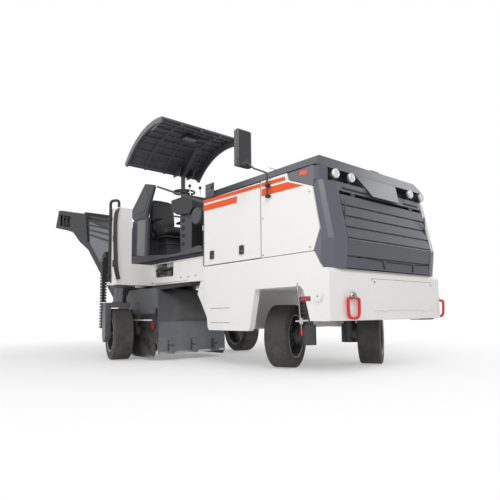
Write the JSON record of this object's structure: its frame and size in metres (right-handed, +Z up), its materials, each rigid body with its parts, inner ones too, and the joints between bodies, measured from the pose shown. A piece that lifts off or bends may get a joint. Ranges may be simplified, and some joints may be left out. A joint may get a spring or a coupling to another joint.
{
  "type": "cold planer milling machine",
  "caption": "Four-wheeled road milling machine with a milling drum between the rear wheels, a rear conveyor, an open platform with canopy and a louvred engine house.",
  "frame": {"origin": "on the ground, midway along and across the machine's box", "axes": "+X forward to the bumper, +Y to the machine's left, +Z up"},
  "size_m": [8.6733, 3.2555, 3.769],
  "materials": {
    "white_paint": "semi-gloss white paint",
    "dark_grey_paint": "satin dark grey paint",
    "mid_grey_paint": "satin mid grey paint",
    "black_paint": "satin black paint",
    "red_paint": "semi-gloss red paint",
    "steel": "worn bare steel",
    "chrome_rod": "hard-chromed rod",
    "cast": "rough cast iron",
    "solid_tyre": "worn solid rubber",
    "black_plastic": "moulded black plastic",
    "grey_plastic": "moulded dark grey plastic",
    "black_rubber": "black rubber",
    "seat_cover": "black seat cover"
  },
  "bodies": {
    "machine": {"column_hoses": "black_rubber", "console": "grey_plastic", "deck_hoses": "black_rubber", "drum_housing": "dark_grey_paint", "engine_block": "cast", "engine_house": "dark_grey_paint", "front_bumper": "white_paint", "front_panels": "white_paint", "hood_roof": "dark_grey_paint", "lamp_plate": "grey_plastic", "main_frame": "white_paint", "mast_tube": "dark_grey_paint", "mirror_brackets": "black_plastic", "nose_frame": "mid_grey_paint", "plate_guides": "black_paint", "platform": "dark_grey_paint", "seat": "seat_cover", "side_guard": "grey_plastic", "side_skirts": "white_paint", "tow_links": "red_paint", "work_lights": "black_paint"},
    "door_right": {"door_right": "white_paint"},
    "door_left": {"door_left": "white_paint"},
    "front_cover": {"front_cover": "mid_grey_paint"},
    "mirror_right": {"mirror_right": "black_plastic"},
    "mirror_left": {"mirror_left": "black_plastic"},
    "front_leg_right": {"front_leg_right": "dark_grey_paint"},
    "front_leg_left": {"front_leg_left": "dark_grey_paint"},
    "rear_leg_right": {"rear_leg_right": "dark_grey_paint"},
    "rear_leg_left": {"rear_leg_left": "dark_grey_paint"},
    "wheel_front_right": {"tyre_front_right": "solid_tyre", "rim_front_right": "dark_grey_paint"},
    "wheel_front_left": {"tyre_front_left": "solid_tyre", "rim_front_left": "dark_grey_paint"},
    "wheel_rear_right": {"tyre_rear_right": "solid_tyre", "rim_rear_right": "dark_grey_paint"},
    "wheel_rear_left": {"tyre_rear_left": "solid_tyre", "rim_rear_left": "dark_grey_paint"},
    "side_plate_right": {"side_plate_right": "black_paint"},
    "side_plate_left": {"side_plate_left": "black_paint"},
    "front_shield": {"front_shield": "mid_grey_paint"},
    "scraper": {"scraper": "black_paint"},
    "milling_drum": {"milling_drum": "steel"},
    "steering_wheel": {"steering_wheel": "black_plastic"},
    "gate_bar": {"gate_bar": "dark_grey_paint"},
    "canopy_unit": {"canopy": "grey_plastic", "canopy_mast": "dark_grey_paint"},
    "slew_bracket": {"slew_bracket": "dark_grey_paint"},
    "conveyor": {"conveyor_frame": "dark_grey_paint", "conveyor_belt": "black_rubber"},
    "lift_barrel": {"lift_barrel": "dark_grey_paint"},
    "lift_rod": {"lift_rod": "chrome_rod"}
  },
  "joints": [
    {"name": "door_right_hinge", "type": "hinge", "parent": "machine", "child": "door_right", "pos_m": [2.62, -0.945, 2.262], "axis": [-1, 0, 0], "range_deg": [0, 80]},
    {"name": "door_left_hinge", "type": "hinge", "parent": "machine", "child": "door_left", "pos_m": [2.62, 1.245, 2.262], "axis": [1, 0, 0], "range_deg": [0, 80]},
    {"name": "front_cover_hinge", "type": "hinge", "parent": "machine", "child": "front_cover", "pos_m": [4.19721, 0.15, 1.992], "axis": [0, -1, 0], "range_deg": [0, 70]},
    {"name": "mirror_right_fold", "type": "hinge", "parent": "machine", "child": "mirror_right", "pos_m": [3.37, -0.993, 2.1], "axis": [0, 0, 1], "range_deg": [-40, 40]},
    {"name": "mirror_left_fold", "type": "hinge", "parent": "machine", "child": "mirror_left", "pos_m": [3.37, 1.293, 2.1], "axis": [0, 0, 1], "range_deg": [-40, 40]},
    {"name": "front_right_steer", "type": "hinge", "parent": "machine", "child": "front_leg_right", "pos_m": [3.3, -0.276, 0.6], "axis": [0, 0, 1], "range_deg": [0, 126]},
    {"name": "front_left_steer", "type": "hinge", "parent": "machine", "child": "front_leg_left", "pos_m": [3.3, 0.576, 0.6], "axis": [0, 0, 1], "range_deg": [0, 126]},
    {"name": "rear_right_steer", "type": "hinge", "parent": "machine", "child": "rear_leg_right", "pos_m": [0.32, -1.395, 0.9], "axis": [0, 0, 1], "range_deg": [0, 24]},
    {"name": "rear_left_steer", "type": "hinge", "parent": "machine", "child": "rear_leg_left", "pos_m": [0.32, 1.096, 0.9], "axis": [0, 0, 1], "range_deg": [-6, 18]},
    {"name": "front_right_spin", "type": "hinge", "parent": "front_leg_right", "child": "wheel_front_right", "pos_m": [3.03873, -0.39233, 0.395], "axis": [0.9135, 0.4067, 0], "continuous": true},
    {"name": "front_left_spin", "type": "hinge", "parent": "front_leg_left", "child": "wheel_front_left", "pos_m": [3.54768, 0.719, 0.395], "axis": [0.866, 0.5, 0], "continuous": true},
    {"name": "rear_right_spin", "type": "hinge", "parent": "rear_leg_right", "child": "wheel_rear_right", "pos_m": [0.32, -1.395, 0.395], "axis": [0.225, 0.9744, 0], "continuous": true},
    {"name": "rear_left_spin", "type": "hinge", "parent": "rear_leg_left", "child": "wheel_rear_left", "pos_m": [0.32, 1.096, 0.395], "axis": [0.1045, 0.9945, 0], "continuous": true},
    {"name": "side_plate_right_lift", "type": "slide", "parent": "machine", "child": "side_plate_right", "axis": [0, 0, 1], "range_m": [0, 0.15]},
    {"name": "side_plate_left_lift", "type": "slide", "parent": "machine", "child": "side_plate_left", "axis": [0, 0, 1], "range_m": [0, 0.15]},
    {"name": "front_shield_lift", "type": "slide", "parent": "machine", "child": "front_shield", "axis": [0, 0, 1], "range_m": [0, 0.15]},
    {"name": "scraper_swing", "type": "hinge", "parent": "machine", "child": "scraper", "pos_m": [-0.145, -0.5, 0.85], "axis": [0, 1, 0], "range_deg": [0, 40]},
    {"name": "milling_drum_spin", "type": "hinge", "parent": "machine", "child": "milling_drum", "pos_m": [0.5, -0.5, 0.565], "axis": [0, 1, 0], "continuous": true},
    {"name": "steering_wheel_turn", "type": "hinge", "parent": "machine", "child": "steering_wheel", "pos_m": [1.11, -0.705, 2.5], "axis": [0, 0, 1], "continuous": true},
    {"name": "gate_bar_swing", "type": "hinge", "parent": "machine", "child": "gate_bar", "pos_m": [1.955, -0.906, 2.25], "axis": [0, 0, 1], "range_deg": [0, 85]},
    {"name": "canopy_lower", "type": "slide", "parent": "machine", "child": "canopy_unit", "axis": [0, 0, -1], "range_m": [0, 0.25]},
    {"name": "conveyor_slew", "type": "hinge", "parent": "machine", "child": "slew_bracket", "pos_m": [-0.32, -0.55, 1.3], "axis": [0, 0, 1], "range_deg": [-25, 25]},
    {"name": "conveyor_lift", "type": "hinge", "parent": "slew_bracket", "child": "conveyor", "pos_m": [-0.5, -0.55, 0.9], "axis": [0, 1, 0], "range_deg": [-5, 10]},
    {"name": "lift_cylinder_foot", "type": "hinge", "parent": "slew_bracket", "child": "lift_barrel", "pos_m": [-0.5, -0.108, 1.34], "axis": [0, 1, 0], "range_deg": [-8, 14]},
    {"name": "lift_cylinder_stroke", "type": "slide", "parent": "lift_barrel", "child": "lift_rod", "axis": [-0.9455, 0, 0.3257], "range_m": [-0.1, 0.06]}
  ],
  "couplings": [
    {"joint": "lift_cylinder_foot", "follows": "conveyor_lift", "ratio": 1.1773},
    {"joint": "lift_cylinder_stroke", "follows": "conveyor_lift", "m_per_rad": -0.41114}
  ]
}
